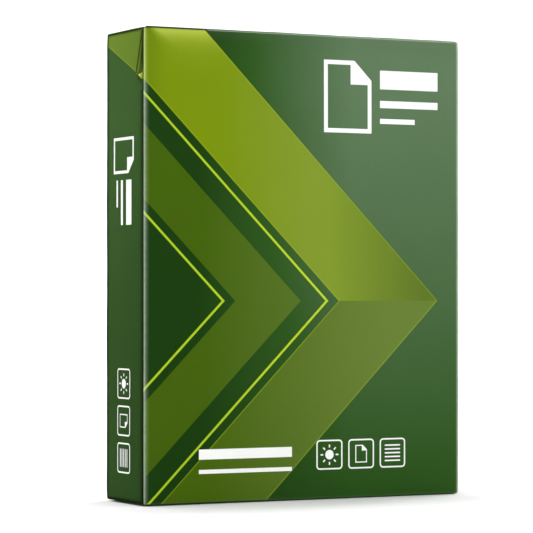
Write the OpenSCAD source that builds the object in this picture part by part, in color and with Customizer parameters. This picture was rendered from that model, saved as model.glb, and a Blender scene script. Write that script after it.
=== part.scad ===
// Sealed ream of letter-size copy paper, standing on its folded lower end.
// Millimetres. Origin at the middle of the footprint, front toward -Y, Z up.
// The long faces are the two sides of the pack; the wrapper is folded shut
// over the top and bottom ends and lapped down the middle of the back.

/* [Paper] */
// Width of a sheet
sheet_width = 216; // [100:1:320]
// Height of a sheet
sheet_height = 279; // [140:1:450]
// Sheets in the pack
sheet_count = 500; // [100:50:600]
// Thickness of one sheet
sheet_thickness = 0.1064; // [0.08:0.0001:0.14]

/* [Wrapper] */
// Thickness of the wrapper, with the air under it
wrapper = 0.35; // [0.1:0.05:0.8]
// Rounding of the four long edges
side_edge_radius = 2; // [0.5:0.1:4]
// Rounding where the wrapper turns over the ends
end_edge_radius = 1; // [0.5:0.1:4]
// Width of the lap down the back
lap_width = 24; // [10:1:50]
// Distance of the lap from the middle of the back
lap_offset = 14; // [-60:1:60]

/* [Folded ends] */
// Depth of the folded flaps, from the edge of the end
flap_depth = 38; // [29:1:48]
// Rise of each layer of folded wrapper
fold_step = 0.4; // [0.1:0.05:1]
// Run of a fold inward for each unit along its edge
fold_run = 1; // [0.8:0.05:1.2]

/* [Corner tuck] */
// Height of the tuck below the top of the pack
tuck_height = 27; // [10:1:50]
// Width of the tuck across the side
tuck_width = 10.5; // [5:0.5:20]
// Depth of its deepest point
tuck_depth = 1.5; // [0.5:0.1:2]
// Distance of the tuck from the front of the pack
tuck_inset = 2.1; // [1:0.1:6]
// Height of the small folded lip at its foot
lip_height = 5.5; // [2:0.5:12]
// Rise of the lip at its free edge
lip_rise = 0.5; // [0.1:0.1:1]

/* [Chevrons] */
// Distance of the outer tip from the left edge of the front
tip_reach = 200; // [120:1:214]
// Height of the tips
tip_height = 120; // [80:1:200]
// Width of the outer band, measured across the front
outer_band = 70; // [20:1:100]
// Gap between the outer and the inner band
band_gap = 26; // [6:1:60]
// Width of the inner band
inner_band = 44; // [20:1:100]
// Width of a thin stripe
stripe_width = 2; // [1:0.5:6]
// Distance of a stripe from the band beside it
stripe_gap = 7; // [2:1:20]
// Rise of the outer band for each unit across the side
side_rise = 0.45; // [0.2:0.05:1]
// Distance of the coloured fields from the top and the bottom of the pack
print_margin = 1.1; // [0.9:0.1:5]
// Thickness of the coloured layer
print_depth = 3; // [2.5:0.5:6]

/* [Marks] */
// Left edge of the page sign, from the left edge of the front
sign_place = 120; // [60:1:130]
// Height of the foot of the page sign
sign_level = 222; // [150:1:230]
// Height of the page sign
sign_height = 44; // [10:1:50]
// Length of the longest rule beside the page sign
rule_length = 41; // [20:1:50]
// Distance between the page sign and the rules
rule_gap = 6; // [2:1:14]
// Size of the page sign and its rules on the side against those on the front
side_scale = 0.65; // [0.4:0.01:1]
// Height of the upper end of the page sign on the side
side_sign_top = 217; // [140:1:240]
// Left end of the two rules at the foot of the front
foot_place = 36; // [10:1:50]
// Height of the lower of them
foot_level = 18; // [8:1:60]
// Their length
foot_length = 62; // [20:1:75]
// Thickness of the upper one
foot_thick = 6; // [2:0.5:10]
// Thickness of the lower one
foot_thin = 2.4; // [1:0.2:6]
// Distance between them
foot_gap = 6; // [2:0.5:15]
// Side of a badge
badge_size = 18; // [10:1:21]
// Distance from one badge to the next
badge_pitch = 22; // [19:1:30]
// Width of the lines in the badges
line_width = 0.9; // [0.4:0.1:2]
// Rounding of a badge outside
badge_radius = 2.4; // [2.1:0.1:5]
// Height of the foot of the badges
badge_level = 18; // [8:1:60]
// Distance of the last badge from the right edge
badge_margin = 40; // [10:1:50]

/* [Colours] */
// Ground of the wrapper
dark_green = "#2f5e24";
// Lower arms and inner bands
olive = "#5c7d1c";
// Upper arm of the outer band
lime = "#8fae1f";
// Thin stripes
light_lime = "#c3da3c";
// Page sign, rules and badges
white = "#f4f6f2";

/* [Hidden] */
$fn = 64;

// Overall size of the pack
pack_w = sheet_width + 2 * wrapper;
pack_t = sheet_count * sheet_thickness + 2 * wrapper;
pack_h = height_over(3);
left = -pack_w / 2;
front = -pack_t / 2;
// How far a cutting shape reaches past the pack
over = 5;

badge_row_length = 2 * badge_pitch + badge_size;

// Chevron lines, as the distance each one keeps behind the outer tip
outer_end = outer_band;
inner_start = outer_band + band_gap;
inner_end = inner_start + inner_band;
stripe_offsets = [
    outer_end + stripe_gap,
    inner_end + stripe_gap
];
// Where the outer band crosses the edge between the front and the left side
edge_high = tip_height + tip_reach;
edge_low = edge_high - outer_band;

// Rectangle centred on the origin with round corners of radius r
module rounded_rect(w, h, r) {
    square([w - 2 * r, h], center = true);
    square([w, h - 2 * r], center = true);
    for (sx = [-1, 1], sy = [-1, 1]) {
        translate([sx * (w / 2 - r), sy * (h / 2 - r)]) {
            circle(r);
        }
    }
}

// Wrapped block w by t by h, every edge rounded, centred on the origin
module wrapped_block(w, t, h) {
    intersection() {
        linear_extrude(h, center = true) {
            rounded_rect(w, t, side_edge_radius);
        }
        rotate([90, 0, 0]) {
            linear_extrude(t, center = true) {
                rounded_rect(w, h, end_edge_radius);
            }
        }
        rotate([90, 0, 90]) {
            linear_extrude(w, center = true) {
                rounded_rect(t, h, end_edge_radius);
            }
        }
    }
}

// Outline of one end flap, its base on the front edge of the end
module flap_outline(depth) {
    polygon([
        [left - over * fold_run, front - over],
        [-left + over * fold_run, front - over],
        [-left - depth * fold_run, front + depth],
        [left + depth * fold_run, front + depth]
    ]);
}

// Height of the pack over so many layers of folded wrapper at each end
function height_over(layers) = sheet_height + 2 * layers * fold_step;

// Flaps of both ends, lying on so many layers, based on the front edge
module end_flaps(layers) {
    intersection() {
        wrapped_block(pack_w, pack_t, height_over(layers));
        linear_extrude(pack_h + 2 * over, center = true) {
            flap_outline(flap_depth);
        }
    }
}

// Pack with both ends folded: side folds, then back flap, then front flap
module folded_block() {
    wrapped_block(pack_w, pack_t, height_over(1));
    rotate(180) {
        end_flaps(2);
    }
    end_flaps(3);
}

// Lap where the wrapper closes on itself down the back
module back_lap() {
    intersection() {
        translate([0, fold_step / 2, 0]) {
            wrapped_block(pack_w, pack_t + fold_step, height_over(2));
        }
        translate([lap_offset - lap_width / 2, 0, -pack_h / 2]) {
            cube([lap_width, pack_t, pack_h]);
        }
    }
}

// Hollow of the tuck: a long three-sided dip, its point near the top corner
module tuck_hollow() {
    y0 = front + tuck_inset;
    top = pack_h - end_edge_radius - fold_step;
    foot = pack_h - tuck_height;
    polyhedron(
        points = [
            [left, y0, top],
            [left, y0 + tuck_width, foot],
            [left, y0, foot],
            [left + tuck_depth, y0 + tuck_depth, foot + lip_height],
            [left - over, y0, top],
            [left - over, y0 + tuck_width, foot],
            [left - over, y0, foot]
        ],
        faces = [
            [4, 6, 5],
            [0, 1, 3],
            [1, 2, 3],
            [2, 0, 3],
            [4, 5, 1, 0],
            [5, 6, 2, 1],
            [6, 4, 0, 2]
        ]
    );
}

// Lip of wrapper standing out at the foot of the tuck
module tuck_lip() {
    y0 = front + tuck_inset;
    tip = y0 + tuck_width * 0.7;
    foot = pack_h - tuck_height;
    polyhedron(
        points = [
            [left, tip, foot],
            [left, y0, foot],
            [left, y0, foot - lip_height],
            [left - lip_rise, y0 + lip_rise, foot - lip_height / 2],
            [left + 1, tip, foot],
            [left + 1, y0, foot],
            [left + 1, y0, foot - lip_height]
        ],
        faces = [
            [4, 5, 6],
            [0, 3, 1],
            [1, 3, 2],
            [2, 3, 0],
            [0, 1, 5, 4],
            [1, 2, 6, 5],
            [2, 0, 4, 6]
        ]
    );
}

// The whole pack in one piece, standing on its lower end
module pack() {
    difference() {
        translate([0, 0, pack_h / 2]) {
            folded_block();
            back_lap();
        }
        tuck_hollow();
    }
    tuck_lip();
}

// Arm of a chevron between two distances behind the tip, side +1 up, -1 down
module arm(from, to, side) {
    run = pack_h;
    polygon([
        [tip_reach - from, tip_height],
        [tip_reach - from - run, tip_height + side * run],
        [tip_reach - to - run, tip_height + side * run],
        [tip_reach - to, tip_height]
    ]);
}

// The outer band going on over the side, more level than on the front
module side_band() {
    run = pack_t + over;
    rise = run * side_rise;
    polygon([
        [0, edge_low],
        [0, edge_high],
        [-run, edge_high + rise],
        [-run, edge_low + rise]
    ]);
}

// Part of a flat pattern between two distances from the front's left edge
module between(from, to) {
    intersection() {
        children();
        translate([from, print_margin]) {
            square([to - from, pack_h - 2 * print_margin]);
        }
    }
}

module lime_fields() {
    between(0, pack_w) {
        arm(0, outer_end, 1);
    }
    between(-pack_t, 0) {
        side_band();
    }
}

module olive_fields() {
    between(0, pack_w) {
        arm(0, outer_end, -1);
        arm(inner_start, inner_end, 1);
        arm(inner_start, inner_end, -1);
    }
}

module stripe_fields() {
    between(0, pack_w) {
        for (from = stripe_offsets, side = [-1, 1]) {
            arm(from, from + stripe_width, side);
        }
    }
}

// Rounded square outline with its lower left corner on the origin
module badge_frame() {
    inside = badge_size - 2 * line_width;
    translate([badge_size / 2, badge_size / 2]) {
        difference() {
            rounded_rect(badge_size, badge_size, badge_radius);
            rounded_rect(inside, inside, badge_radius - line_width);
        }
    }
}

// Sun, its rays a little apart from the disc
module sun_sign() {
    circle(badge_size * 0.16);
    for (turn = [0:45:315]) {
        rotate(turn) {
            translate([badge_size * 0.24, -line_width / 2]) {
                square([badge_size * 0.1, line_width]);
            }
        }
    }
}

// Edge of a stack of sheets
module stack_sign() {
    for (row = [-2:2]) {
        translate([0, row * badge_size * 0.13]) {
            square([badge_size * 0.6, line_width], center = true);
        }
    }
}

// Three badges in a row: light, sheet, stack
module badge_row() {
    for (i = [0:2]) {
        translate([i * badge_pitch, 0]) {
            badge_frame();
        }
    }
    translate([badge_size / 2, badge_size / 2]) {
        sun_sign();
    }
    translate([badge_pitch + badge_size * 0.275, badge_size * 0.2]) {
        page_sign(badge_size * 0.6);
    }
    translate([2 * badge_pitch + badge_size / 2, badge_size / 2]) {
        stack_sign();
    }
}

// Upright page with a turned-down corner, drawn in outline
module page_sign(h) {
    w = h * 0.75;
    fold = h * 0.27;
    line = h * 0.06;
    difference() {
        polygon([[0, 0], [w, 0], [w, h - fold], [w - fold, h], [0, h]]);
        polygon([
            [line, line],
            [w - line, line],
            [w - line, h - fold - line],
            [w - fold - line, h - fold - line],
            [w - fold - line, h - line],
            [line, h - line]
        ]);
    }
}

// Page sign with a thick, a middle and a thin rule beside it
module title_marks() {
    x0 = sign_height * 0.75 + rule_gap;
    page_sign(sign_height);
    translate([x0, sign_height * 0.62]) {
        square([rule_length, sign_height * 0.26]);
    }
    translate([x0, sign_height * 0.36]) {
        square([rule_length, sign_height * 0.1]);
    }
    translate([x0, sign_height * 0.14]) {
        square([rule_length * 0.6, sign_height * 0.07]);
    }
}

// A thick rule over a thin one
module foot_rules() {
    square([foot_length, foot_thin]);
    translate([0, foot_thin + foot_gap]) {
        square([foot_length, foot_thick]);
    }
}

// White marks of the front, measured from its lower left corner
module front_marks() {
    translate([foot_place, foot_level]) {
        foot_rules();
    }
    translate([sign_place, sign_level]) {
        title_marks();
    }
    translate([pack_w - badge_margin - badge_row_length, badge_level]) {
        badge_row();
    }
}

// The page sign, smaller, and the badges, turned to read down the side
module side_marks() {
    translate([-(pack_t + side_scale * sign_height) / 2, side_sign_top]) {
        rotate(-90) {
            scale(side_scale) {
                title_marks();
            }
        }
    }
    translate([-(pack_t + badge_size) / 2, badge_level + badge_row_length]) {
        rotate(-90) {
            badge_row();
        }
    }
}

// All marks as one flat pattern
module marks() {
    front_marks();
    side_marks();
}

// Flat pattern as a layer of the front, mitred to the sides
module front_layer() {
    intersection() {
        translate([left, 0, 0]) {
            rotate([90, 0, 0]) {
                linear_extrude(pack_t) {
                    children();
                }
            }
        }
        linear_extrude(pack_h) {
            polygon([
                [left - over, front - over],
                [-left + over, front - over],
                [-left - print_depth, front + print_depth],
                [left + print_depth, front + print_depth]
            ]);
        }
    }
}

// Flat pattern as a layer of the left side, carrying on from the front
module side_layer() {
    intersection() {
        translate([0, front, 0]) {
            rotate([90, 0, -90]) {
                linear_extrude(pack_w) {
                    children();
                }
            }
        }
        linear_extrude(pack_h) {
            polygon([
                [left - over, front - over],
                [left + print_depth, front + print_depth],
                [left + print_depth, -front - print_depth],
                [left - over, -front + over]
            ]);
        }
    }
}

// Flat pattern laid round all four long faces, the same on opposite ones
module laid_round() {
    for (turn = [0, 180]) {
        rotate(turn) {
            front_layer() {
                children();
            }
            side_layer() {
                children();
            }
        }
    }
}

// Part of the pack that a flat pattern colours
module printed(ink) {
    color(ink) {
        intersection() {
            pack();
            laid_round() {
                children();
            }
        }
    }
}

// Wrapped pack in its colours, one solid
module coloured_pack() {
    printed(lime) {
        difference() {
            lime_fields();
            marks();
        }
    }
    printed(olive) {
        difference() {
            olive_fields();
            marks();
        }
    }
    printed(light_lime) {
        difference() {
            stripe_fields();
            marks();
        }
    }
    printed(white) {
        marks();
    }
    color(dark_green) {
        difference() {
            pack();
            laid_round() {
                lime_fields();
                olive_fields();
                stripe_fields();
                marks();
            }
        }
    }
}

// The pack moved so that its lip and lap are counted in the middle of the foot
module wrapped_ream() {
    translate([lip_rise / 2, -fold_step / 2, 0]) {
        coloured_pack();
    }
}

union() {
    wrapped_ream();
}
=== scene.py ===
import math

import bpy
import numpy as np
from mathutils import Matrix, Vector


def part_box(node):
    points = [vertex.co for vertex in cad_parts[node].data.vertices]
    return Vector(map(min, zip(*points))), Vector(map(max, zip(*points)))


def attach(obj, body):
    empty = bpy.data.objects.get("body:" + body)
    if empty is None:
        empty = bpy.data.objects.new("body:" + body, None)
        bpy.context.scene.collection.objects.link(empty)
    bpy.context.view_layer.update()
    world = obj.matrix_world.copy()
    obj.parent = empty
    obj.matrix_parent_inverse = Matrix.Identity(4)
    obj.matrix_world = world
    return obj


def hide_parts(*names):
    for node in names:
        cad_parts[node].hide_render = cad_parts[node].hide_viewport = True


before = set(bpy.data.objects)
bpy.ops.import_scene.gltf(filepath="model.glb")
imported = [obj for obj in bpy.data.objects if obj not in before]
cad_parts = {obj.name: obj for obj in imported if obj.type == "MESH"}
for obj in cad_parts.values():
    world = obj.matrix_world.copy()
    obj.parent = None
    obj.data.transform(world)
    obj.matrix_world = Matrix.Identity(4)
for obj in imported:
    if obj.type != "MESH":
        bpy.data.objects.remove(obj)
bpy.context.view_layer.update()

# Sizes in millimetres. The block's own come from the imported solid
NODE = "wrapped_ream"
MM = 0.001
STEP = 0.4          # one layer of folded wrapper, and the lap down the back
LIP = 0.5           # how far the lip of the corner tuck stands out
low, high = (np.array(p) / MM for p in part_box(NODE))
ORIGIN = np.array([low[0] + LIP, low[1], low[2] + 2 * STEP])
SIZE = np.array([high[0], high[1] - STEP, high[2] - 2 * STEP]) - ORIGIN
W, T, H = SIZE
FOOT = ORIGIN[2]

R = 2.0             # rounding of the four long edges
R_END = 1.0         # rounding where the wrapper turns over the ends
SHOULDER = 10.0     # how far from an edge the faces start to fall toward it
LONG_FALL = 0.30    # how far the long faces fall
END_FALL = 0.12     # how far the ends fall
BROAD_WAVE = 0.07   # height of the slow waves of the faces
EDGE_WAVE = 0.045   # height of the short waves beside the edges
ARC = R * (1 - math.pi / 4)
ARC_END = R_END * (1 - math.pi / 4)
ACROSS, DEEP = W - 2 * ARC, T - 2 * ARC
PERIOD = ACROSS + DEEP

LAP = (low[0] + high[0]) / 2 + 2 - ORIGIN[0]   # free edge of the lap, from the left edge
LAP_WIDTH = 24.0
LAP_FADE = 3.0      # the lap's hidden edge fades out this far to each side
LAP_CURL = 0.1      # how far its free edge curls up
FLAP_DEPTH = 38.0
FLAP_INSET = 1.5    # how far a flap's side lies in from the end of its fold
FOLD_COVER = 4.5    # how far past a flap's 45 degree fold the side panel's print goes on under it
SHEET = 0.2         # thickness of a flap's sheet


# Surface of the wrapped block
def waves(p, seed, count, shortest, longest):
    """Smooth waves of about unit height, the same at every run."""
    rng = np.random.default_rng(seed)
    total = np.zeros(len(p))
    for _ in range(count):
        d = rng.normal(size=3)
        d /= np.linalg.norm(d)
        length = math.exp(rng.uniform(math.log(shortest), math.log(longest)))
        total += np.sin(p @ d * (2 * math.pi / length) + rng.uniform(0, 2 * math.pi))
    return total / math.sqrt(count)


def smooth(x):
    """0 up to 0, 1 from 1 on, with a soft rise between them."""
    x = np.clip(x, 0, 1)
    return x * x * (3 - 2 * x)


def bell(distance, width, power=2):
    """1 at distance 0, and nearly gone at twice the width. A higher power has a flatter top."""
    return np.exp(-(distance / width) ** power)


def surface(box_points):
    """Place and normal, in the row frame, of points on the sharp box."""
    p = np.asarray(box_points, float)
    q = np.clip(p[:, :2], R, SIZE[:2] - R)
    d = p[:, :2] - q
    reach = np.abs(d).max(1)
    length = np.linalg.norm(d, axis=1)
    out = np.divide(d, length[:, None], out=np.zeros_like(d), where=length[:, None] > 1e-9)
    inset = R - reach
    depth = np.minimum(p[:, 2], H - p[:, 2])
    sign = np.where(p[:, 2] > H / 2, 1.0, -1.0)
    turn = np.arctan2(np.clip(R_END - depth, 0, None), np.clip(R_END - inset, 0, None))
    inward = np.clip(inset - R_END, 0, None) + R_END * (1 - np.cos(turn))
    inner = np.clip(depth - R_END, 0, None) + R_END * (1 - np.sin(turn))
    base = np.concatenate([
        q + out * (R - inward)[:, None],
        np.where(sign > 0, H - inner, inner)[:, None],
    ], 1)
    n = np.concatenate([out * np.cos(turn)[:, None], (sign * np.sin(turn))[:, None]], 1)
    near = np.minimum(p, SIZE - p)
    amount = LONG_FALL * np.cos(turn) + END_FALL * np.sin(turn)
    fall = amount * ((np.clip(1 - near / SHOULDER, 0, 1) ** 2).sum(1) - 1)
    to_edge = np.sort(near, axis=1)[:, 1]
    wave = BROAD_WAVE * (waves(p, 5, 14, 60, 190) - 1.6)
    wave += EDGE_WAVE * np.exp(-to_edge / 8.0) * waves(p, 11, 16, 10, 40)
    up = wave - fall + lap_rise(p, n)
    return ORIGIN + base + n * up[:, None], n


def lap_rise(p, n):
    """The lap down the back: a sharp step at its free edge, none at the other."""
    on_back = smooth((n[:, 1] - 0.2) / 0.6)
    x = p[:, 0] - LAP
    rise = STEP * smooth((LAP_WIDTH + LAP_FADE - x) / (2 * LAP_FADE)) * (x > 0)
    curl = LAP_CURL * np.exp(-np.clip(x, 0, None) / 1.6) * (x > 0)
    return on_back * (rise + curl)


def along(p, length, radius):
    """Distance along the surface, from the fold, for a place on one side of the sharp box."""
    p = np.asarray(p, float)
    start = radius * (math.pi / 4 - np.arctan((radius - p) / radius))
    back = length - p
    end = radius * (math.pi / 4 - np.arctan((radius - back) / radius))
    arc = radius * (1 - math.pi / 4)
    total = length - 2 * arc
    return np.where(p < radius, start, np.where(back < radius, total - end, p - arc))


# Painted shade beside the folds, and pale folds that are partly wear and partly a painted highlight
LIME_FOOT = 246.0   # height where the lime band starts on the front's left fold
LIME_END = 36.0     # how far it reaches along the top fold
LIP_LEVEL = 28.6    # how far below the top fold the tuck's lip breaks the painted shade of the fold


def wrap(p, side):
    """Place on the flat wrapper: across, from the front's left fold, up, and tone, which paints shade
    above zero and a pale fold below it.
    """
    panel, end = side
    x, y = along(p[:, 0], W, R), along(p[:, 1], T, R)
    z = along(p[:, 2], H, R_END)
    if panel == "front":
        u, inward = x, p[:, 1]
    elif panel == "left":
        u, inward = -y, p[:, 0]
    elif panel == "right":
        u, inward = ACROSS + y, W - p[:, 0]
    else:
        u, inward = 2 * ACROSS + DEEP - x, T - p[:, 1]
    v = z + FOOT + ARC_END
    if end == "top":
        v = FOOT + H - ARC_END + inward
    if end == "bottom":
        v = FOOT + ARC_END - inward
    shade = tone(x, y, z, panel)
    if end:
        shade *= bell(inward, 0.6)
    return np.stack([u, v, shade], 1)


def tone(x, y, z, panel):
    """Painted shade beside a fold, above zero, or a pale fold on it, below zero, partly wear and partly
    a painted highlight.
    """
    below = H - 2 * ARC_END - z
    if panel in ("left", "right"):
        return side_tone(y, z, below, panel)
    return face_tone(x if panel == "front" else ACROSS - x, z, below)


def side_tone(y, z, below, panel):
    """The left and right panels get painted shade beside their folds, and the right one a pale line on
    its front fold, partly wear and partly a painted highlight.
    """
    # painted shade along the front and back folds, and along the top and bottom ones
    near = (0.78 + 0.18 * (2 * z / (z + below) - 1) ** 2) * bell(y, 3.4)
    far = 0.92 * bell(DEEP - y, 4.0 if panel == "left" else 2.0, 4)
    ends = 0.97 * bell(np.minimum(z, below) - 0.9, 1.0)
    if panel == "left":
        near *= 1 - 0.85 * bell(below - LIP_LEVEL, 2.4)
        return np.maximum.reduce([near, far, ends])
    worn_and_lit = bell(y, 1.3, 4)
    return np.maximum.reduce([near, far, ends]) * (1 - worn_and_lit) - 0.9 * worn_and_lit


def face_tone(start, z, below):
    """Front or back panel: pale folds, partly wear and partly a painted highlight, with painted shade
    at the start of the top fold and faint painted shade under the rest of it.
    """
    upper = smooth((z - LIME_FOOT) / 8)
    wear_and_highlight = np.clip(1.25 * np.exp(-start / 1.15) - 0.045, 0, 0.60)
    wear_and_highlight += upper * (np.minimum(0.85 * bell(start, 1.54), 0.72) - wear_and_highlight)
    wear_and_highlight = np.maximum(wear_and_highlight, 0.95 * bell(ACROSS - start, 2.0, 6))
    past = smooth((start - LIME_END) / 8)
    wear_and_highlight = np.maximum(wear_and_highlight, 0.50 * past * bell(below, 0.45))
    wear_and_highlight = np.maximum(wear_and_highlight, 0.05 * bell(z, 0.9))
    # a painted dark line on the top fold over the lime, and faint painted shade under the rest of the
    # top fold
    line = 0.75 * (1 - past) * bell(below, 0.75)
    top_shade = 0.10 * past * bell(below, 7)
    return np.where(line > wear_and_highlight, line, np.where(wear_and_highlight > top_shade, -wear_and_highlight, top_shade))


# Meshes
EVEN_FROM = 9.0     # from here on the lines lie evenly
CLOSEST = 0.02      # closer lines become one


def edge_lines(length, step, radii, extra):
    """Lines across one side of the box, close together over its rounded edges."""
    turn = np.linspace(math.pi / 4, 0, 8)
    over = [r * (1 - np.tan(turn)) for r in radii]
    beyond = radii[0] + np.array([0.6, 1.3, 2.2, 3.4, 5.0])
    ends = np.concatenate([*over, beyond])
    count = max(2, round((length - 2 * EVEN_FROM) / step)) + 1
    middle = np.linspace(EVEN_FROM, length - EVEN_FROM, count)
    lines = np.concatenate([ends, middle, length - ends, extra])
    lines = np.unique(np.round(lines, 6))
    keep = [0]
    for i in range(1, len(lines)):
        if lines[i] - lines[keep[-1]] > CLOSEST:
            keep.append(i)
    return lines[keep]


def grid_faces(rows, columns, start=0, flip=False):
    """Quads of a grid whose points are numbered row by row from start."""
    i = np.arange(rows - 1)[:, None] * columns + np.arange(columns - 1)[None, :] + start
    quads = np.stack([i, i + 1, i + 1 + columns, i + columns], -1).reshape(-1, 4)
    return quads[:, ::-1] if flip else quads


def make_piece(name, points, faces, corner_wrap, material, sharp=32):
    """One piece of the wrapper. corner_wrap has a row for each face corner."""
    mesh = bpy.data.meshes.new(name)
    mesh.from_pydata((points * MM).tolist(), [], faces.tolist())
    mesh.polygons.foreach_set("use_smooth", np.ones(len(faces), bool))
    layer = mesh.attributes.new("wrap", "FLOAT_VECTOR", "CORNER")
    layer.data.foreach_set("vector", corner_wrap.astype(np.float32).ravel())
    mesh.set_sharp_from_angle(angle=math.radians(sharp))
    mesh.materials.append(material)
    mesh.update()
    piece = bpy.data.objects.new(name, mesh)
    bpy.context.scene.collection.objects.link(piece)
    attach(piece, "root")
    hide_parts(NODE)
    return piece


def weld(points, faces):
    """Joins vertices that lie in one place."""
    key = np.round(points / 1e-4).astype(np.int64)
    _, first, index = np.unique(key, axis=0, return_index=True, return_inverse=True)
    faces = index.reshape(-1)[faces]
    return points[first], faces


# Corner tuck on the left side, by distance a from the front edge and h from the top
PATCH = (1.25, 14.5, 0.9, 37.0)     # what its own piece covers, from a to a and from h to h
TUCK_TOP, TUCK_FOOT = 1.2, 26.6     # ends of the crease beside the hollow, h
CREASE_TOP, TUCK_WIDTH = 1.70, 10.5     # the crease at its two ends, a
FLOOR_END = 1.62                    # where the hollow stops beside the front fold, a
LIP_BEND = (7.4, 27.8)              # where the lip's lower edge bends, a and h
LIP_HIGH, LIP_LOW = 25.8, 31.8      # the lip's upper and lower edge at the front fold, h
LIP_ENDS = 2.01                     # row after which the panel goes on below the lip
PANEL_ENDS = 1.0005                 # column after which the hollow begins
TUCK_SHEET = 0.25                   # thickness of its sheet
PIT_RIM, PIT_DEPTH = 0.25, 3.0      # the body's pit under it
LIT_PLACE = 30.0                    # where on the front lies the painted sheen that the lip takes, across
LIT_NEAR, LIT_FAR = 1.0, 7.0        # and below the top fold, at the lip's tip and beside the fold


def tuck_pit(p):
    """How far the body gives way under the tuck's own piece."""
    a0, a1, h0, h1 = PATCH
    a, h = p[:, 1], H - p[:, 2]
    left = p[:, 0] < 1e-6
    covered = (a > a0 + PIT_RIM) & (a < a1 - PIT_RIM) & (h > h0 + PIT_RIM) & (h < h1 - PIT_RIM)
    return np.where(left & covered, PIT_DEPTH, 0.0)


def build_body(material):
    """The wrapper on all six sides of the block, with the lap, and with the pit under the tuck."""
    a0, a1, h0, h1 = PATCH
    lap_end = LAP_WIDTH + np.array([-LAP_FADE, 0, LAP_FADE])
    lap_lines = LAP + np.concatenate([[-0.02, 0.02, 1, 2.5], lap_end])
    pit_across = (a0 + 0.07, a0 + 0.35, a1 - 0.4, a1 - 0.1)
    pit_up = H - np.array([h0 + 0.1, h0 + 0.4, h1 - 0.4, h1 - 0.1])
    lines = [
        edge_lines(W, 3.6, (R, R_END), lap_lines),
        edge_lines(T, 2.6, (R, R_END), pit_across),
        edge_lines(H, 3.6, (R_END,), pit_up),
    ]
    points, faces, wraps = [], [], []
    start = 0
    for axis, (first, second) in ((0, (1, 2)), (1, (2, 0)), (2, (0, 1))):
        for value in (0.0, SIZE[axis]):
            a, b = np.meshgrid(lines[first], lines[second], indexing="xy")
            p = np.zeros((a.size, 3))
            p[:, axis] = value
            p[:, first] = a.ravel()
            p[:, second] = b.ravel()
            place, _ = surface(p)
            # straight in: along the normals, which meet behind the fold, the pit would cross itself
            place[:, 0] += tuck_pit(p)
            quads = grid_faces(len(lines[second]), len(lines[first]), 0, flip=value == 0)
            middle = p[quads].mean(1)
            corner = np.zeros((len(quads), 4, 3))
            for panel, end, mask in panels(axis, value, middle):
                if mask.any():
                    corner[mask] = wrap(p[quads[mask]].reshape(-1, 3), (panel, end)).reshape(-1, 4, 3)
            points.append(place)
            faces.append(quads + start)
            wraps.append(corner)
            start += len(p)
    points, faces = weld(np.concatenate(points), np.concatenate(faces))
    return make_piece("wrapper_body", points, faces, np.concatenate(wraps).reshape(-1, 3), material)


def panels(axis, value, middle):
    """Which panel of the wrapper each face belongs to."""
    everywhere = np.ones(len(middle), bool)
    if axis == 0:
        yield ("left" if value == 0 else "right"), None, everywhere
    elif axis == 1:
        yield ("front" if value == 0 else "back"), None, everywhere
    else:
        end = "bottom" if value == 0 else "top"
        # the front and back flaps lie over the line between these
        x, y = middle[:, 0], middle[:, 1]
        reach = np.minimum(y, T - y) + FOLD_COVER
        left, right = x < reach, W - x < reach
        yield "left", end, left
        yield "right", end, right
        yield "front", end, ~(left | right) & (y < T / 2)
        yield "back", end, ~(left | right) & (y >= T / 2)


def shell(name, outer, inner, corner_of, rows, columns, flip, material, sharp=32):
    """A thin sheet: two grids joined round their rims."""
    count = rows * columns
    points = np.concatenate([outer, inner])
    faces = [grid_faces(rows, columns, 0, flip), grid_faces(rows, columns, count, not flip)]
    index = np.arange(count).reshape(rows, columns)
    rim = np.concatenate([index[0, :], index[1:, -1], index[-1, -2::-1], index[-2:0:-1, 0]])
    after = np.roll(rim, -1)
    band = np.stack([rim, rim + count, after + count, after], 1)
    faces.append(band[:, ::-1] if flip else band)
    faces = np.concatenate(faces)
    corner = np.concatenate([corner_of, corner_of])[faces].reshape(-1, 3)
    return make_piece(name, points, faces, corner, material, sharp)


def flap_grid():
    """Rows from just below the edge to the free edge, below 0 before the fold, and columns across."""
    turn = np.linspace(math.pi / 4, 0, 8)
    over = R_END * (1 - np.tan(turn))
    below = np.concatenate([[4.0, 3.0, 2.2, 1.5], over[::-1]])
    inward = np.concatenate([
        over[1:],
        [1.6, 2.4],
        np.arange(3.6, FLAP_DEPTH - 1.0, 1.7),
        FLAP_DEPTH - np.array([0.6, 0.25, 0]),
    ])
    half = np.concatenate([[0, 0.25, 0.6, 1.1, 1.8, 2.8, 4.2], np.linspace(7.0, W / 2, 30)])
    return np.concatenate([-below, inward]), np.concatenate([half, (W - half)[::-1][1:]])


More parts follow.
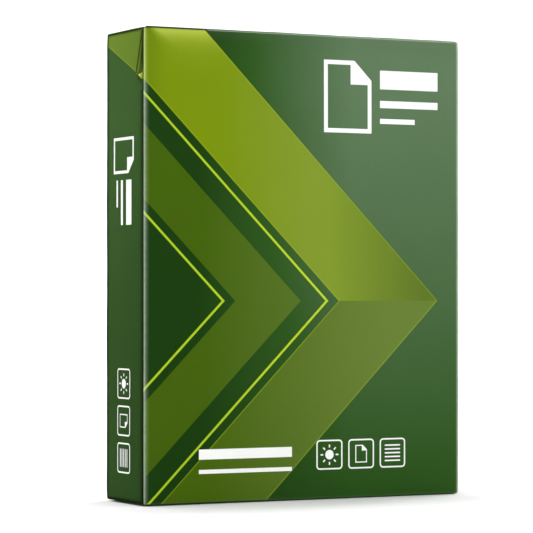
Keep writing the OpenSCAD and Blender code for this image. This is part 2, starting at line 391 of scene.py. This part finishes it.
def build_flap(name, panel, end, rise, material, seed):
    """End flap of the front or back panel, its sides folded in at 45 degrees."""
    path, column = flap_grid()
    s, c = np.meshgrid(path, column, indexing="ij")
    s, c = s.ravel(), c.ravel()
    on_panel = FLAP_INSET - 0.25 * np.clip(-s, 0, 2)
    on_end = FLAP_INSET + np.clip(s, 0, None) - 1.0 * smooth(s / 4)
    inset = np.where(s < 0, on_panel, on_end)
    p = np.stack([inset + c / W * (W - 2 * inset), np.clip(s, 0, None), H + np.clip(s, None, 0)], 1)
    flat = s < 0
    if panel == "back":
        p[:, 1] = T - p[:, 1]
    if end == "bottom":
        p[:, 2] = H - p[:, 2]
    corner = wrap(p, (panel, end))
    corner[flat] = wrap(p[flat], (panel, None))
    place, n = surface(p)
    side = np.minimum(c, W - c) / W * (W - 2 * inset)
    grow = smooth((s + 1.0) / (R_END + 2.5))
    at_fold = np.exp(-side / 5.0)
    ripple = waves(p, seed, 8, 22, 90)
    up = rise * (1 - 0.45 * at_fold * smooth(s / 10)) - 0.05 - 0.05 * np.abs(ripple)
    if end == "top":
        up = up + np.exp(-(FLAP_DEPTH - s) / 3.0) * (0.10 + 0.07 * ripple)
    up = -0.02 + grow * (up + 0.02)
    # the surface beneath falls toward its edges, and the sheet spans it
    outer = place + n * up[:, None]
    level, sign = (FOOT + H, 1) if end == "top" else (FOOT, -1)
    span = smooth((s - R_END) / 6)
    outer[:, 2] = outer[:, 2] * (1 - span) + (level + sign * up) * span
    inner = outer - n * SHEET
    flip = (panel == "back") != (end == "bottom")
    return shell(name, outer, inner, corner, len(path), len(column), flip, material)


def down_crease(h):
    """Share of the way down the crease beside the hollow."""
    return np.clip((h - TUCK_TOP) / (TUCK_FOOT - TUCK_TOP), 0, 1)


def crease(h):
    """Where the crease lies at this height."""
    return CREASE_TOP + (TUCK_WIDTH - CREASE_TOP) * down_crease(h) ** 0.96


def low_edge(a):
    """Lower edge of the lip."""
    bend_a, bend_h = LIP_BEND
    inner = LIP_LOW + (bend_h - LIP_LOW) * a / bend_a
    outer = bend_h + (TUCK_FOOT - bend_h) * (a - bend_a) / (TUCK_WIDTH - bend_a)
    return np.where(a < bend_a, inner, np.where(a < TUCK_WIDTH, outer, TUCK_FOOT))


def high_edge(a):
    """Upper edge of the lip, at the foot of the hollow."""
    bend_a, bend_h = LIP_BEND
    inner = LIP_HIGH + (bend_h - LIP_HIGH) * a / bend_a
    return np.minimum(inner, low_edge(a) - 0.03)


def tuck_grid():
    """Rows down the tuck (1 to 2 is the lip) and columns across it (1 to 2 is the hollow)."""
    column = np.concatenate([
        np.linspace(0, 1, 12)[:-1],
        [1.0, 1.001, 1.03, 1.07],
        np.linspace(1.0, 2.0, 18)[2:],
        [2.25, 2.5, 2.75, 3.0],
    ])
    row = np.concatenate([
        np.linspace(0, 1, 52),
        1 + np.linspace(0, 1, 9)[1:],
        [2.02, 2.05],
        2 + np.linspace(0, 1, 12)[1:],
    ])
    return row, column


def tuck_places(i, j):
    """Distance from the front edge and from the top, for each row and column."""
    a0, a1, h0, h1 = PATCH

    def across(h):
        edge = crease(h)
        panel_a = a1 + (edge - a1) * np.clip(j, 0, 1)
        floor_a = edge + (FLOOR_END - edge) * np.clip(j - 1, 0, 1)
        wall_a = FLOOR_END + (a0 - FLOOR_END) * np.clip(j - 2, 0, 1)
        return np.where(j <= 1, panel_a, np.where(j <= 2, floor_a, wall_a))

    # rows and columns bend one another, so both settle in a few rounds
    h = h0 + (h1 - h0) * i / 3
    for _ in range(6):
        a = across(h)
        up_part = h0 + (high_edge(a) - h0) * i
        lip_part = high_edge(a) + (low_edge(a) - high_edge(a)) * (i - 1)
        down_part = low_edge(a) + (h1 - low_edge(a)) * (i - 2)
        h = np.where(i <= 1, up_part, np.where(i <= 2, lip_part, down_part))
    return across(h), h


def tuck_depth(i, j, a, h):
    """Depth below the side panel. The panel's edge at the crease and the lip stand out a little."""
    a0, a1, h0, h1 = PATCH
    bend_a, _ = LIP_BEND
    t = down_crease(h)
    across_floor = np.clip(j - 1, 0, 1)
    fold_sheet = 0.45 * smooth(t / 0.15)
    deep = 0.25 + 1.75 * np.sin(t * math.pi * 0.62) ** 1.1
    hollow = fold_sheet + (deep - fold_sheet) * across_floor ** 0.8
    foot_level = 0.60 - 0.15 * np.clip(a / bend_a, 0, 1)
    close = smooth((i - 0.80) / 0.20)
    hollow = hollow * (1 - close) + foot_level * close
    from_crease = np.clip(a - crease(h), 0, None)
    lifted = -0.12 * np.exp(-from_crease / 2.2) * smooth(t / 0.3) * smooth((1.04 - t) / 0.1)
    out = -LIP * np.clip(1 - a / bend_a, 0, 1) ** 0.7 - 0.05
    lip = foot_level + (out - foot_level) * np.clip(i - 1, 0, 1) ** 1.15
    below = 0.02 + 0.25 * np.exp(-(i - 2.0) / 0.10) * (a < TUCK_WIDTH)
    on_panel = j < PANEL_ENDS
    depth = np.where(on_panel, lifted, hollow)
    depth = np.where(i > 1, np.where(a < TUCK_WIDTH - 0.01, lip, 0.0), depth)
    depth = np.where(i > LIP_ENDS, below, depth)
    depth = np.where(on_panel & (i > 1) & (i <= LIP_ENDS), 0.0, depth)
    depth = depth * (1 - smooth(np.clip(j - 2, 0, 1)))
    rim = np.minimum.reduce([smooth((a1 - a) / 2.0), smooth((h - h0) / 0.4), smooth((h1 - h) / 2.0)])
    return depth * rim - 0.012


def tuck_wrap(i, j, a, h, p):
    """Print of the tuck, with painted shade in the hollow and under the lip and a painted highlight on
    the lip.
    """
    corner = wrap(p, ("left", None))
    t = down_crease(h)
    in_hollow = (j >= PANEL_ENDS) & (i <= 1)
    lip_rows = (i > 1) & (i <= LIP_ENDS)
    in_lip = lip_rows & (a < TUCK_WIDTH - 0.01)
    # painted shade beside the crease, deep in the hollow, at its foot and under the lip; on the lip a
    # painted highlight beside a painted dark crease
    beside = 0.85 * bell(crease(h) - a, 0.45)
    over_floor = smooth((np.clip(j - 1, 0, 1) - 0.08) / 0.36)
    pocket = (0.95 - 0.35 * smooth((t - 0.60) / 0.4)) * over_floor
    hollow_tone = np.maximum(beside, pocket) * smooth((t + 0.02) / 0.06)
    foot_tone = 0.55 * bell(i - 1, 0.05)
    lip_tone = -0.24 * smooth((a - 3.0) / 1.2) + 0.2 * bell(a - 3.4, 0.5) + 0.01
    under = 0.92 * np.exp(-np.clip(h - low_edge(a), 0, None) / 2.2) * smooth((TUCK_WIDTH - a) / 4)
    own = np.where(in_hollow, np.maximum(hollow_tone, foot_tone), 0.0)
    own = np.where(in_lip, lip_tone, own)
    own = np.where(i > LIP_ENDS, under, own)
    corner[:, 1] += 5.0 * lip_rows * smooth((9.5 - a) / 1.5)
    # the lip takes the same painted sheen as the lime under the front's top fold, fading toward the
    # fold
    lip_highlight = in_lip & (a > FLOOR_END - 0.02)
    corner[lip_highlight, 0] = LIT_PLACE
    corner[lip_highlight, 1] = FOOT + H - LIT_FAR + (LIT_FAR - LIT_NEAR) * smooth(a[lip_highlight] - 3.2)
    # the painted shade beside the front fold goes on over the tuck
    by_fold = corner[:, 2] * smooth((2.2 - a) / 0.8)
    own = np.where(own < 0, own, np.maximum(own, by_fold))
    corner[:, 2] = np.where(in_hollow | (i > 1), own, corner[:, 2])
    return corner


def build_tuck(material):
    """The corner tuck: the panel's edge at the crease, the hollow, and the lip at its foot."""
    row, column = tuck_grid()
    i, j = np.meshgrid(row, column, indexing="ij")
    i, j = i.ravel(), j.ravel()
    a, h = tuck_places(i, j)
    p = np.stack([np.zeros_like(a), a, H - h], 1)
    place, _ = surface(p)
    # straight in from the side, so that the sheet never crosses itself
    outer = place + np.outer(tuck_depth(i, j, a, h), (1.0, 0.0, 0.0))
    inner = outer + (TUCK_SHEET, 0.0, 0.0)
    corner = tuck_wrap(i, j, a, h, p)
    return shell("corner_tuck", outer, inner, corner, len(row), len(column), True, material, 24)


# Material: ink on coated paper
class Maths:
    """Arithmetic on sockets of one node tree."""

    tree = None

    def __init__(self, source):
        self.source = source

    @classmethod
    def node(cls, operation, *inputs, clamp=False):
        n = cls.tree.nodes.new("ShaderNodeMath")
        n.operation = operation
        n.use_clamp = clamp
        for k, value in enumerate(inputs):
            value = value.source if isinstance(value, Maths) else value
            if isinstance(value, (int, float)):
                n.inputs[k].default_value = value
            else:
                cls.tree.links.new(value, n.inputs[k])
        return Maths(n.outputs[0])

    def __add__(self, o):
        return self.node("ADD", self, o)

    def __sub__(self, o):
        return self.node("SUBTRACT", self, o)

    def __rsub__(self, o):
        return self.node("SUBTRACT", o, self)

    def __mul__(self, o):
        return self.node("MULTIPLY", self, o)

    def __rmul__(self, o):
        return self.node("MULTIPLY", o, self)

    def __truediv__(self, o):
        return self.node("DIVIDE", self, o)

    def __abs__(self):
        return self.node("ABSOLUTE", self)


def op(name, *inputs, **options):
    """A maths node, by the name of its operation."""
    return Maths.node(name, *inputs, **options)


def largest(first, *others):
    for o in others:
        first = op("MAXIMUM", first, o)
    return first


def smallest(first, *others):
    for o in others:
        first = op("MINIMUM", first, o)
    return first


def inside(distance, soft=0.16):
    """1 where a distance is negative, with an edge as soft as printed ink."""
    return op("MULTIPLY_ADD", distance, -1 / soft, 0.5, clamp=True)


def ramp(value, start, end):
    """0 at start, 1 at end, straight between them."""
    return op("MULTIPLY_ADD", value, 1 / (end - start), -start / (end - start), clamp=True)


def box_shape(x, y, cx, cy, hx, hy):
    """Distance from a box with its centre at cx, cy and the half sizes hx, hy."""
    return largest(abs(x - cx) - hx, abs(y - cy) - hy)


def rule_shape(x, y, x0, y0, length, thick):
    """Distance from a bar whose lower left corner is at x0, y0."""
    return box_shape(x, y, x0 + length / 2, y0 + thick / 2, length / 2, thick / 2)


DIAGONAL = 0.7071   # distance from a line at 45 degrees, for a step up or across


def page_shape(x, y, h):
    """Outline of a page with a turned-down corner."""
    w, fold, line = 0.75 * h, 0.27 * h, 0.06 * h
    cut = (x + y - (w + h - fold)) * DIAGONAL
    outer = largest(box_shape(x, y, w / 2, h / 2, w / 2, h / 2), cut)
    corner = smallest(x - (w - fold - line), y - (h - fold - line))
    inner = largest(box_shape(x, y, w / 2, h / 2, w / 2 - line, h / 2 - line), corner)
    return largest(outer, -1 * inner)


def choose(mask, yes, no):
    """yes where mask is 1, no where it is 0."""
    return op("MULTIPLY_ADD", mask, yes - no, no)


def mix(tree, factor, low_colour, high_colour, blend="MIX"):
    """low_colour where the factor is 0, high_colour where it is 1."""
    n = tree.nodes.new("ShaderNodeMix")
    n.data_type = "RGBA"
    n.blend_type = blend
    n.clamp_factor = True
    for socket, value in ((n.inputs[0], factor), (n.inputs[6], low_colour), (n.inputs[7], high_colour)):
        value = value.source if isinstance(value, Maths) else value
        if isinstance(value, (int, float)):
            socket.default_value = value
        elif isinstance(value, tuple):
            socket.default_value = (*value, 1)
        else:
            tree.links.new(value, socket)
    return n.outputs[2]


# Print: chevrons behind a tip, a page sign with rules, and three badges
TIP, TIP_LEVEL = 200.0, 120.0
OUTER = (0.0, 70.0)
INNER = (96.0, 140.0)
STRIPES = (77.0, 147.0)
STRIPE_WIDTH = 2.0
SIDE_RISE = 0.45
SIDE_SLANT = 0.912      # distance from that rising edge, for a step up
EDGE_LOW = TIP_LEVEL + TIP - OUTER[1]
MARGIN = 1.1
INNER_SHARE, RIM_SHARE = 0.86, 0.45     # how strongly the inner band and the fine line cover
RIM_PLACE, RIM_HALF = 0.45, 0.22        # the fine pale line just inside the outer band
SIGN, SIGN_LEVEL, SIGN_HEIGHT = 120.0, 222.0, 44.0
RULE, RULE_GAP = 41.0, 6.0
SIDE_SCALE, SIDE_TOP = 0.65, 217.0
FOOT_PLACE, FOOT_LEVEL, FOOT_LENGTH = 36.0, 18.0, 62.0
FOOT_THICK, FOOT_THIN, FOOT_GAP = 6.0, 2.4, 6.0
BADGE, PITCH, LINE, BADGE_ROUND = 18.0, 22.0, 0.9, 2.4
BADGE_LEVEL, BADGE_MARGIN = 18.0, 40.0
ROW = 2 * PITCH + BADGE


def marks_shape(u, v, on_side):
    """Signed distance to the white marks."""
    s, h = SIDE_SCALE, SIGN_HEIGHT
    tx = choose(on_side, (SIDE_TOP - v) / s, u - SIGN)
    ty = choose(on_side, (u + (T + s * h) / 2) / s, v - SIGN_LEVEL)
    x0 = 0.75 * h + RULE_GAP
    title = smallest(
        page_shape(tx, ty, h),
        rule_shape(tx, ty, x0, 0.62 * h, RULE, 0.26 * h),
        rule_shape(tx, ty, x0, 0.36 * h, RULE, 0.10 * h),
        rule_shape(tx, ty, x0, 0.14 * h, 0.6 * RULE, 0.07 * h),
    )
    foot = smallest(
        rule_shape(u, v, FOOT_PLACE, FOOT_LEVEL, FOOT_LENGTH, FOOT_THIN),
        rule_shape(u, v, FOOT_PLACE, FOOT_LEVEL + FOOT_THIN + FOOT_GAP, FOOT_LENGTH, FOOT_THICK),
    )
    bx = choose(on_side, BADGE_LEVEL + ROW - v, u - (W - BADGE_MARGIN - ROW))
    by = choose(on_side, u + (T + BADGE) / 2, v - BADGE_LEVEL)
    which = op("MINIMUM", op("MAXIMUM", op("FLOOR", (bx + 2.0) / PITCH), 0.0), 2.0)
    x = bx - which * PITCH - BADGE / 2
    y = by - BADGE / 2
    qx = abs(x) - (BADGE / 2 - BADGE_ROUND)
    qy = abs(y) - (BADGE / 2 - BADGE_ROUND)
    px, py = op("MAXIMUM", qx, 0.0), op("MAXIMUM", qy, 0.0)
    corner = op("SQRT", px * px + py * py) + op("MINIMUM", largest(qx, qy), 0.0) - BADGE_ROUND
    frame_line = abs(corner + LINE / 2) - LINE / 2
    radius = op("SQRT", x * x + y * y)
    angle = op("PINGPONG", op("ARCTAN2", y, x) + 2 * math.pi, math.pi / 8)
    ray = box_shape(
        radius * op("COSINE", angle), radius * op("SINE", angle),
        0.29 * BADGE, 0.0, 0.05 * BADGE, LINE / 2,
    )
    sun = smallest(radius - 0.16 * BADGE, ray)
    page = page_shape(x + (0.5 - 0.275) * BADGE, y + (0.5 - 0.2) * BADGE, 0.6 * BADGE)
    gap = 0.13 * BADGE
    row = y - op("ROUND", y / gap) * gap
    stack = largest(abs(row) - LINE / 2, abs(x) - 0.3 * BADGE, abs(y) - 2.3 * gap)
    is_sun = op("LESS_THAN", which, 0.5)
    is_stack = op("GREATER_THAN", which, 1.5)
    sign = choose(is_sun, sun, choose(is_stack, stack, page))
    return smallest(title, foot, frame_line, sign)


# Inks, as linear colour. Some of them stand for painted shade, sheen and reflection
GROUND_LOW = (0.0078, 0.0428, 0.0022)
GROUND_MIDDLE = (0.0240, 0.0860, 0.0100)
GROUND_REFLECTION = (0.104, 0.180, 0.090)
SIDE_LOW = (0.0230, 0.0665, 0.0105)
SIDE_HIGH = (0.0455, 0.1110, 0.0247)
OLIVE_NEAR = (0.056, 0.119, 0.0001)
OLIVE_FAR = (0.127, 0.199, 0.031)
LIME_FOLD_SHADE = (0.140, 0.218, 0.0001)
LIME_NEAR = (0.168, 0.254, 0.0001)
LIME_MIDDLE = (0.194, 0.282, 0.022)
LIME_TIP = (0.102, 0.167, 0.0165)
LIME_SHEEN = (0.47, 0.56, 0.060)
LIME_SIDE = (0.112, 0.187, 0.017)
LIME_SIDE_FAR = (0.142, 0.236, 0.021)
RIM = (0.32, 0.44, 0.012)
STRIPE_NEAR = (0.36, 0.52, 0.014)
STRIPE_FAR = (0.50, 0.64, 0.030)
WHITE = (0.90, 0.91, 0.89)
# pale colour of the folds, for wear and a painted highlight together
PALE_WORN_AND_LIT = (0.60, 0.68, 0.54)
PALE_WORN_AND_LIT_LIME = (0.65, 0.71, 0.27)


def print_colour(tree, u, v):
    """Colour of the print before the folds are paled, with painted shade, sheen and reflection in some
    inks, and 1 where a pale fold shows the lime colour.
    """
    # chevrons on the front, and the outer one going on over the side
    on_side = op("LESS_THAN", u, 0.0)
    on_front = 1.0 - on_side
    printed = inside(abs(v - (FOOT + H / 2)) - (FOOT + H / 2 - MARGIN))
    behind = TIP - u - abs(v - TIP_LEVEL)
    upper = inside(TIP_LEVEL - v)

    def band_gap(start, end):
        return largest(start - behind, behind - end) * DIAGONAL

    def band(start, end):
        return inside(band_gap(start, end))

    side_lift = op("MULTIPLY_ADD", u, SIDE_RISE, v)
    outer_gap = band_gap(*OUTER)
    side_gap = (EDGE_LOW - side_lift) * SIDE_SLANT
    outer_gap = choose(on_side, side_gap, outer_gap)
    outer = inside(outer_gap) * printed
    inner = band(*INNER) * on_front * printed
    stripes = op("MAXIMUM", *(band(a, a + STRIPE_WIDTH) for a in STRIPES)) * on_front * printed
    marks = inside(marks_shape(u, v, on_side))

    # each ink fades along its band, and the ground is lighter to the upper right: partly the print's
    # own shading, and toward the top right a painted reflection that greys it
    rise = ramp(v, -110, 250)
    fade = ramp(u, 35, 140) * rise
    ground = mix(tree, ramp(fade, 0, 0.36), GROUND_LOW, GROUND_MIDDLE)
    ground = mix(tree, ramp(fade, 0.36, 1), ground, GROUND_REFLECTION)
    # the side has its own darker copies of the ground and the lime, lighter toward the top and the
    # back: painted shade and light of the side face
    back = ramp(u, 0, -50)
    side_fade = op("POWER", ramp(v, 70, 227), 1.5) * 0.72 + back * 0.30
    ground = mix(tree, on_side, ground, mix(tree, side_fade, SIDE_LOW, SIDE_HIGH))
    far = ramp(u, 40, 165)
    olive = mix(tree, far, OLIVE_NEAR, OLIVE_FAR)
    # beside the front's left fold the lime is darker: painted shade
    lime = mix(tree, ramp(u, 4, 16), LIME_FOLD_SHADE, LIME_NEAR)
    lime = mix(tree, ramp(u, 50, 110), lime, LIME_MIDDLE)
    lime = mix(tree, ramp(u, 125, 190), lime, LIME_TIP)
    # under the top fold the lime gets a painted sheen, from a slanting line on
    below_fold = op("MAXIMUM", FOOT + H - v, 0.0)
    lit = (u - below_fold * 0.93 - 5.3) / (below_fold * 0.8 + 4.0) + 0.5
    lit = op("MINIMUM", op("MAXIMUM", lit, 0.0), 1.0)
    lime = mix(tree, op("EXPONENT", below_fold / -5.4) * lit, lime, LIME_SHEEN)
    lime = mix(tree, on_side, lime, mix(tree, back, LIME_SIDE, LIME_SIDE_FAR))
    upper = op("MAXIMUM", upper, on_side)
    colour = mix(tree, inner * INNER_SHARE, ground, olive)
    colour = mix(tree, outer, colour, mix(tree, upper, olive, lime))
    rim = inside(abs(outer_gap + RIM_PLACE) - RIM_HALF, 0.3) * printed
    colour = mix(tree, rim * RIM_SHARE, colour, RIM)
    colour = mix(tree, stripes, colour, mix(tree, far, STRIPE_NEAR, STRIPE_FAR))
    return mix(tree, marks, colour, WHITE), outer * upper


# Grain of the paper and ink: scale per metre, detail and roughness of each noise
MOTTLE = (900, 3, 0.6)
CLOUD = (26, 2, 0.5)
WEAR = (420, 4, 0.65)
FIBRE = (1500, 4, 0.6)
SHEEN = (60, 3, 0.5)
SOFT = (75, 2, 0.45)


def printed_paper():
    """Coated paper with the print, painted shade beside the folds and pale folds that are partly wear
    and partly a painted highlight, a soft gloss and fine fibres.
    """
    material = bpy.data.materials.new("printed_coated_paper")
    material.use_nodes = True
    tree = material.node_tree
    Maths.tree = tree
    shader = tree.nodes["Principled BSDF"]
    attribute = tree.nodes.new("ShaderNodeAttribute")
    attribute.attribute_type = "GEOMETRY"
    attribute.attribute_name = "wrap"
    parts = tree.nodes.new("ShaderNodeSeparateXYZ")
    tree.links.new(attribute.outputs["Vector"], parts.inputs[0])
    u, v, fold_tone = (Maths(parts.outputs[k]) for k in range(3))
    u = op("WRAP", u, PERIOD - DEEP, -DEEP)

    place = tree.nodes.new("ShaderNodeTexCoord").outputs["Object"]

    def noise(scale, detail, roughness, stretch=None):
        n = tree.nodes.new("ShaderNodeTexNoise")
        n.inputs["Scale"].default_value = scale
        n.inputs["Detail"].default_value = detail
        n.inputs["Roughness"].default_value = roughness
        source = place
        if stretch:
            m = tree.nodes.new("ShaderNodeMapping")
            m.inputs["Scale"].default_value = stretch
            tree.links.new(place, m.inputs["Vector"])
            source = m.outputs[0]
        tree.links.new(source, n.inputs["Vector"])
        return Maths(n.outputs["Fac"])

    def bump(height, distance, normal=None):
        n = tree.nodes.new("ShaderNodeBump")
        n.inputs["Strength"].default_value = 1.0
        n.inputs["Distance"].default_value = distance
        tree.links.new(height.source, n.inputs["Height"])
        if normal:
            tree.links.new(normal, n.inputs["Normal"])
        return n.outputs[0]

    colour, pale_fold_on_lime = print_colour(tree, u, v)

    # ink lies a little unevenly; the folds are paled, partly wear and partly a painted highlight, with
    # painted shade beside them
    mottle = noise(*MOTTLE)
    cloud = noise(*CLOUD)
    wear = noise(*WEAR)
    shade = op("MULTIPLY_ADD", mottle, 0.10, 0.95) * op("MULTIPLY_ADD", cloud, 0.08, 0.96)
    # tone above zero darkens the ink: painted shade
    dark = op("MAXIMUM", fold_tone, 0.0)
    shade = shade * (1.0 - 0.92 * dark)
    tint = tree.nodes.new("ShaderNodeCombineXYZ")
    for k in range(3):
        tree.links.new(shade.source, tint.inputs[k])
    colour = mix(tree, 1.0, colour, tint.outputs[0], "MULTIPLY")
    # tone below zero pales the folds: wear and a painted highlight together
    wear_and_highlight = op("MAXIMUM", -1 * fold_tone, 0.0) * ramp(wear, -0.6, 0.7)
    colour = mix(tree, wear_and_highlight * 0.75, colour, mix(tree, pale_fold_on_lime, PALE_WORN_AND_LIT, PALE_WORN_AND_LIT_LIME))
    tree.links.new(colour, shader.inputs["Base Color"])

    fibre = noise(*FIBRE, stretch=(1, 1, 0.45))
    rough = op("MULTIPLY_ADD", noise(*SHEEN), 0.10, 0.28) + fibre * 0.06
    tree.links.new(rough.source, shader.inputs["Roughness"])
    # the coat fades where shade is painted
    gloss = 1.0 - 0.95 * dark
    shader.inputs["Specular IOR Level"].default_value = 0.10
    tree.links.new((gloss * 0.20).source, shader.inputs["Coat Weight"])
    shader.inputs["Coat Roughness"].default_value = 0.11
    tree.links.new(bump(fibre, 0.00001, bump(noise(*SOFT), 0.00010)), shader.inputs["Normal"])
    return material


paper = printed_paper()
build_body(paper)
build_tuck(paper)
for end in ("top", "bottom"):
    build_flap(f"{end}_back_flap", "back", end, STEP, paper, 21)
    build_flap(f"{end}_front_flap", "front", end, 2 * STEP, paper, 33)


# Floor and backdrop in one pale sweep, in metres
SWEEP_NEAR, SWEEP_HALF = -4.0, 5.0
BEND_START, BEND_RADIUS, BEND_STEPS = 1.6, 1.2, 12
WALL_TOP = 4.5


def plain(name, colour, roughness):
    material = bpy.data.materials.new(name)
    material.use_nodes = True
    inputs = material.node_tree.nodes["Principled BSDF"].inputs
    inputs["Base Color"].default_value = (*colour, 1)
    inputs["Roughness"].default_value = roughness
    return material


def build_sweep():
    """A floor that bends up into a backdrop."""
    profile = [(SWEEP_NEAR, 0.0), (BEND_START, 0.0)]
    for k in range(1, BEND_STEPS + 1):
        angle = k / BEND_STEPS * math.pi / 2
        y = BEND_START + BEND_RADIUS * math.sin(angle)
        profile.append((y, BEND_RADIUS - BEND_RADIUS * math.cos(angle)))
    profile.append((BEND_START + BEND_RADIUS, WALL_TOP))
    verts, faces = [], []
    for y, z in profile:
        verts += [(-SWEEP_HALF, y, z), (SWEEP_HALF, y, z)]
    for k in range(len(profile) - 1):
        faces.append((2 * k, 2 * k + 1, 2 * k + 3, 2 * k + 2))
    mesh = bpy.data.meshes.new("sweep")
    mesh.from_pydata(verts, [], faces)
    mesh.polygons.foreach_set("use_smooth", [True] * len(faces))
    mesh.materials.append(plain("pale_sweep", (0.93, 0.93, 0.93), 0.9))
    piece = bpy.data.objects.new("sweep", mesh)
    bpy.context.scene.collection.objects.link(piece)
    piece.visible_glossy = False


# Light and camera, in metres
MIDDLE = (0.0, 0.0, 0.15)
AMBIENT = 0.04                  # strength of the world, and what it gains for two kinds of ray
WORLD_GAINS = (("Is Camera Ray", 0.90), ("Is Diffuse Ray", 0.16))
FOCAL, PICTURE = 2642, 533      # focal length and width in pixels, fitted to the outline in the photo
SENSOR = 36.0
EYE = (-0.75375, -1.4282, 0.124)
YAW, PITCH_UP = math.radians(27.42), math.radians(0.60)


def area_light(name, place, target, width, height, power):
    """A rectangle of white light that faces its target."""
    light = bpy.data.lights.new(name, "AREA")
    light.shape = "RECTANGLE"
    light.size, light.size_y = width, height
    light.energy = power
    lamp = bpy.data.objects.new(name, light)
    lamp.location = place
    lamp.rotation_euler = (Vector(target) - Vector(place)).to_track_quat("-Z", "Y").to_euler()
    bpy.context.scene.collection.objects.link(lamp)


def around(turn, rise, distance):
    """A place seen from the pack at turn degrees left of its front, rise degrees up."""
    a, e = math.radians(turn), math.radians(rise)
    flat = distance * math.cos(e)
    return (-flat * math.sin(a), -flat * math.cos(a), MIDDLE[2] + distance * math.sin(e))


def studio_world():
    """The world that the camera sees is nearly white. It gives little light and less reflection."""
    world = bpy.data.worlds.new("studio")
    bpy.context.scene.world = world
    world.use_nodes = True
    tree = world.node_tree
    Maths.tree = tree
    rays = tree.nodes.new("ShaderNodeLightPath")
    strength = AMBIENT
    for ray, gain in WORLD_GAINS:
        strength = op("MULTIPLY_ADD", rays.outputs[ray], gain, strength)
    background = tree.nodes["Background"].inputs
    background["Color"].default_value = (1.0, 1.0, 1.0, 1)
    tree.links.new(strength.source, background["Strength"])


def photo_camera():
    """The view of the photo."""
    camera = bpy.data.cameras.new("camera")
    camera.sensor_width = SENSOR
    camera.lens = FOCAL * SENSOR / PICTURE
    camera.clip_start, camera.clip_end = 0.1, 50
    eye = bpy.data.objects.new("camera", camera)
    eye.location = EYE
    ahead = math.cos(PITCH_UP)
    forward = Vector((math.sin(YAW) * ahead, math.cos(YAW) * ahead, math.sin(PITCH_UP)))
    eye.rotation_euler = forward.to_track_quat("-Z", "Y").to_euler()
    bpy.context.scene.collection.objects.link(eye)
    bpy.context.scene.camera = eye


# Name, place, target, width, height and power of each light. The last one lights the backdrop
LIGHTS = (
    ("front", around(33, 12, 2.0), MIDDLE, 2.0, 2.2, 26.5),
    ("left", around(88, 20, 1.9), MIDDLE, 1.2, 1.8, 7.5),
    ("key", around(-44, 34, 2.2), MIDDLE, 1.8, 1.8, 17.5),
    ("top", (-0.2, 0.1, 2.2), MIDDLE, 2.0, 2.0, 11),
    ("rim", around(-115, 10, 1.8), MIDDLE, 0.5, 1.5, 9),
    ("back", (0.3, 0.6, 2.6), (0.3, 2.6, 0.9), 4.0, 1.2, 105),
)

build_sweep()
for light in LIGHTS:
    area_light(*light)
studio_world()
photo_camera()
bpy.context.scene.view_settings.view_transform = "Standard"
